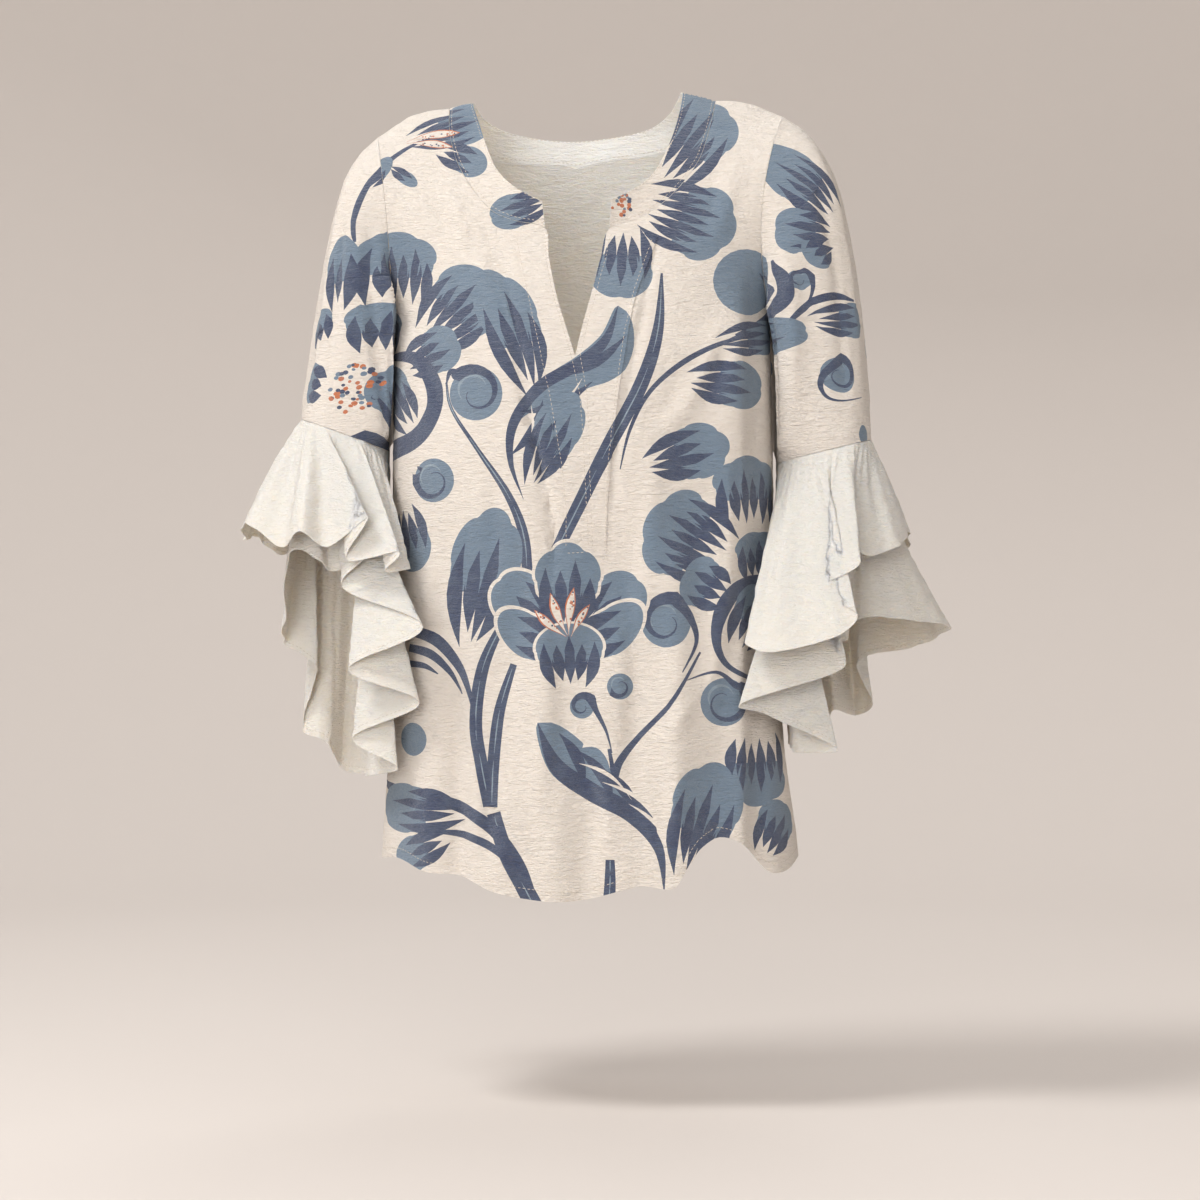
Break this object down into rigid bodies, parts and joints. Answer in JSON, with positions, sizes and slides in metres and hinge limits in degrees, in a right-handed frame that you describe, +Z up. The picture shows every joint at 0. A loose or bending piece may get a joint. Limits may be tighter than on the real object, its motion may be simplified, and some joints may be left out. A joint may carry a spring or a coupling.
{
  "type": "blouse",
  "caption": "Loose V-neck tunic blouse with a flat neck band, a stitched front placket, elbow sleeves and tiered circular flounces, filled out as if worn.",
  "frame": {"origin": "midway between the two side neck points, where the shoulders of the wearer carry the blouse", "axes": "+Z up, -Y out of the front, +X to the viewer's right when facing the front"},
  "size_m": [0.6543, 0.2599, 0.7416],
  "materials": {
    "printed_crepe": "matte crinkled crepe, cream with a blue floral print",
    "cream_crepe": "matte crinkled crepe, plain cream"
  },
  "bodies": {
    "root": {"front": "printed_crepe", "back": "printed_crepe", "collar_band": "printed_crepe", "placket_left": "printed_crepe", "placket_right": "printed_crepe", "sleeve_left": "printed_crepe", "sleeve_right": "printed_crepe", "flounce_upper_left": "cream_crepe", "flounce_lower_left": "cream_crepe", "flounce_upper_right": "cream_crepe", "flounce_lower_right": "cream_crepe"}
  },
  "joints": []
}
